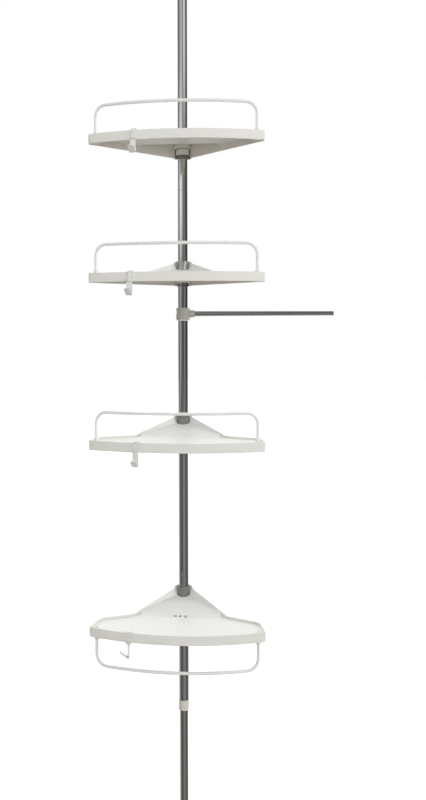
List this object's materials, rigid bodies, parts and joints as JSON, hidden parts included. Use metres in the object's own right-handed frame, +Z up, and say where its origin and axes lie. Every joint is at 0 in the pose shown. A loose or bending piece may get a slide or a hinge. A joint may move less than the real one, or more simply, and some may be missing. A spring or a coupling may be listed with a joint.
{
  "type": "tension pole shelf unit",
  "caption": "Floor-to-ceiling tension pole with wedge-shaped corner trays, wire rails, rim hooks and a swinging towel bar.",
  "frame": {"origin": "on the floor, on the pole's axis, at the underside of the foot's pad", "axes": "+Z up the pole, -Y towards the front arc of the trays, +X along the towel bar"},
  "size_m": [0.5163, 0.2467, 2.0743],
  "materials": {
    "white_plastic": "satin moulded white",
    "white_coating": "smooth white coating",
    "pole_steel": "bright drawn tube",
    "lower_steel": "duller drawn tube",
    "grey_plastic": "satin",
    "dark_plastic": "satin",
    "hook_plastic": "pale, slightly clear",
    "rubber": "dull",
    "spring_steel": "bright wire"
  },
  "bodies": {
    "lower_post": {"floor_pad": "rubber", "foot_cup": "white_plastic", "lower_tube": "lower_steel", "lower_plug": "white_plastic", "grip_ring": "grey_plastic"},
    "main_pole": {"pole_section_1": "pole_steel", "pole_section_2": "pole_steel", "pole_section_3": "pole_steel", "pole_coupler_1": "lower_steel", "pole_coupler_2": "lower_steel", "collar_insert": "white_plastic", "guide_bush": "white_plastic", "spring_seat": "white_plastic", "tension_spring": "spring_steel"},
    "lock_collar_body": {"lock_collar": "grey_plastic"},
    "plunger": {"plunger_stop": "white_plastic", "plunger_tube": "lower_steel", "ceiling_cup": "white_plastic", "ceiling_pad": "rubber"},
    "shelf_1_mount": {"shelf_1_collet": "dark_plastic", "shelf_1_stop_band": "pole_steel"},
    "shelf_1_lock_ring_body": {"shelf_1_lock_ring": "white_plastic"},
    "shelf_1_body": {"shelf_1_tray": "white_plastic", "shelf_1_rail": "white_coating", "shelf_1_ferrule_left": "white_plastic", "shelf_1_ferrule_right": "white_plastic"},
    "shelf_1_clip_body": {"shelf_1_hook_clip": "hook_plastic"},
    "shelf_1_hook_body": {"shelf_1_hook": "hook_plastic"},
    "shelf_2_mount": {"shelf_2_collet": "dark_plastic", "shelf_2_stop_band": "pole_steel"},
    "shelf_2_lock_ring_body": {"shelf_2_lock_ring": "white_plastic"},
    "shelf_2_body": {"shelf_2_tray": "white_plastic", "shelf_2_rail": "white_coating", "shelf_2_ferrule_left": "white_plastic", "shelf_2_ferrule_right": "white_plastic"},
    "shelf_2_clip_body": {"shelf_2_hook_clip": "hook_plastic"},
    "shelf_2_hook_body": {"shelf_2_hook": "hook_plastic"},
    "shelf_3_mount": {"shelf_3_collet": "dark_plastic", "shelf_3_stop_band": "pole_steel"},
    "shelf_3_lock_ring_body": {"shelf_3_lock_ring": "white_plastic"},
    "shelf_3_body": {"shelf_3_tray": "white_plastic", "shelf_3_rail": "white_coating", "shelf_3_ferrule_left": "white_plastic", "shelf_3_ferrule_right": "white_plastic"},
    "shelf_3_clip_body": {"shelf_3_hook_clip": "hook_plastic"},
    "shelf_3_hook_body": {"shelf_3_hook": "hook_plastic"},
    "shelf_4_mount": {"shelf_4_collet": "dark_plastic", "shelf_4_stop_band": "pole_steel"},
    "shelf_4_lock_ring_body": {"shelf_4_lock_ring": "white_plastic"},
    "shelf_4_body": {"shelf_4_tray": "white_plastic", "shelf_4_rail": "white_coating", "shelf_4_ferrule_left": "white_plastic", "shelf_4_ferrule_right": "white_plastic"},
    "shelf_4_clip_body": {"shelf_4_hook_clip": "hook_plastic"},
    "shelf_4_hook_body": {"shelf_4_hook": "hook_plastic"},
    "bar_carrier_body": {"bar_carrier": "hook_plastic"},
    "bar_arm": {"bar_clamp": "grey_plastic", "bar_rod": "pole_steel", "bar_cap": "pole_steel"}
  },
  "joints": [
    {"name": "pole_height", "type": "slide", "parent": "lower_post", "child": "main_pole", "axis": [0, 0, 1], "range_m": [-0.18, 0.25]},
    {"name": "lock_collar_twist", "type": "hinge", "parent": "main_pole", "child": "lock_collar_body", "pos_m": [0, 0, 0.2425], "axis": [0, 0, 1], "range_deg": [0, 90]},
    {"name": "plunger_press", "type": "slide", "parent": "main_pole", "child": "plunger", "axis": [0, 0, 1], "range_m": [-0.04, 0], "stiffness_N_per_m": 3000, "springref_m": 0.012, "deforming": ["tension_spring"]},
    {"name": "shelf_1_height", "type": "slide", "parent": "main_pole", "child": "shelf_1_mount", "axis": [0, 0, 1], "range_m": [-0.09, 0.25]},
    {"name": "shelf_1_lock_twist", "type": "hinge", "parent": "shelf_1_mount", "child": "shelf_1_lock_ring_body", "pos_m": [0, 0, 1.4808], "axis": [0, 0, 1], "range_deg": [0, 60]},
    {"name": "shelf_1_turn", "type": "hinge", "parent": "shelf_1_mount", "child": "shelf_1_body", "pos_m": [0, 0, 1.498], "axis": [0, 0, 1], "range_deg": [-180, 180]},
    {"name": "shelf_1_clip_slide", "type": "hinge", "parent": "shelf_1_body", "child": "shelf_1_clip_body", "pos_m": [0, 0.29211, 1.478], "axis": [0, 0, 1], "range_deg": [-8, 27]},
    {"name": "shelf_1_hook_swivel", "type": "hinge", "parent": "shelf_1_clip_body", "child": "shelf_1_hook_body", "pos_m": [-0.08272, -0.20233, 1.468], "axis": [0, 0, 1], "range_deg": [-75, 75]},
    {"name": "shelf_2_height", "type": "slide", "parent": "main_pole", "child": "shelf_2_mount", "axis": [0, 0, 1], "range_m": [-0.012, 0.07]},
    {"name": "shelf_2_lock_twist", "type": "hinge", "parent": "shelf_2_mount", "child": "shelf_2_lock_ring_body", "pos_m": [0, 0, 1.1948], "axis": [0, 0, 1], "range_deg": [0, 60]},
    {"name": "shelf_2_turn", "type": "hinge", "parent": "shelf_2_mount", "child": "shelf_2_body", "pos_m": [0, 0, 1.212], "axis": [0, 0, 1], "range_deg": [-180, 180]},
    {"name": "shelf_2_clip_slide", "type": "hinge", "parent": "shelf_2_body", "child": "shelf_2_clip_body", "pos_m": [0, 0.29211, 1.192], "axis": [0, 0, 1], "range_deg": [-7, 28]},
    {"name": "shelf_2_hook_swivel", "type": "hinge", "parent": "shelf_2_clip_body", "child": "shelf_2_hook_body", "pos_m": [-0.09089, -0.20089, 1.182], "axis": [0, 0, 1], "range_deg": [-75, 75]},
    {"name": "shelf_3_height", "type": "slide", "parent": "main_pole", "child": "shelf_3_mount", "axis": [0, 0, 1], "range_m": [-0.15, 0.05]},
    {"name": "shelf_3_lock_twist", "type": "hinge", "parent": "shelf_3_mount", "child": "shelf_3_lock_ring_body", "pos_m": [0, 0, 0.8502], "axis": [0, 0, 1], "range_deg": [0, 60]},
    {"name": "shelf_3_turn", "type": "hinge", "parent": "shelf_3_mount", "child": "shelf_3_body", "pos_m": [0, 0, 0.8674], "axis": [0, 0, 1], "range_deg": [-180, 180]},
    {"name": "shelf_3_clip_slide", "type": "hinge", "parent": "shelf_3_body", "child": "shelf_3_clip_body", "pos_m": [0, 0.29211, 0.8474], "axis": [0, 0, 1], "range_deg": [-8, 26.5]},
    {"name": "shelf_3_hook_swivel", "type": "hinge", "parent": "shelf_3_clip_body", "child": "shelf_3_hook_body", "pos_m": [-0.0791, -0.20292, 0.8374], "axis": [0, 0, 1], "range_deg": [-75, 75]},
    {"name": "shelf_4_height", "type": "slide", "parent": "main_pole", "child": "shelf_4_mount", "axis": [0, 0, 1], "range_m": [-0.1, 0.1]},
    {"name": "shelf_4_lock_twist", "type": "hinge", "parent": "shelf_4_mount", "child": "shelf_4_lock_ring_body", "pos_m": [0, 0, 0.4658], "axis": [0, 0, 1], "range_deg": [0, 60]},
    {"name": "shelf_4_turn", "type": "hinge", "parent": "shelf_4_mount", "child": "shelf_4_body", "pos_m": [0, 0, 0.483], "axis": [0, 0, 1], "range_deg": [-180, 180]},
    {"name": "shelf_4_clip_slide", "type": "hinge", "parent": "shelf_4_body", "child": "shelf_4_clip_body", "pos_m": [0, 0.29211, 0.463], "axis": [0, 0, 1], "range_deg": [-6.5, 28.5]},
    {"name": "shelf_4_hook_swivel", "type": "hinge", "parent": "shelf_4_clip_body", "child": "shelf_4_hook_body", "pos_m": [-0.09432, -0.20025, 0.453], "axis": [0, 0, 1], "range_deg": [-15, 135]},
    {"name": "bar_height", "type": "slide", "parent": "main_pole", "child": "bar_carrier_body", "axis": [0, 0, 1], "range_m": [-0.12, 0.008]},
    {"name": "bar_swing", "type": "hinge", "parent": "bar_carrier_body", "child": "bar_arm", "pos_m": [0, 0, 1.119], "axis": [0, 0, 1], "range_deg": [-180, 180]}
  ]
}
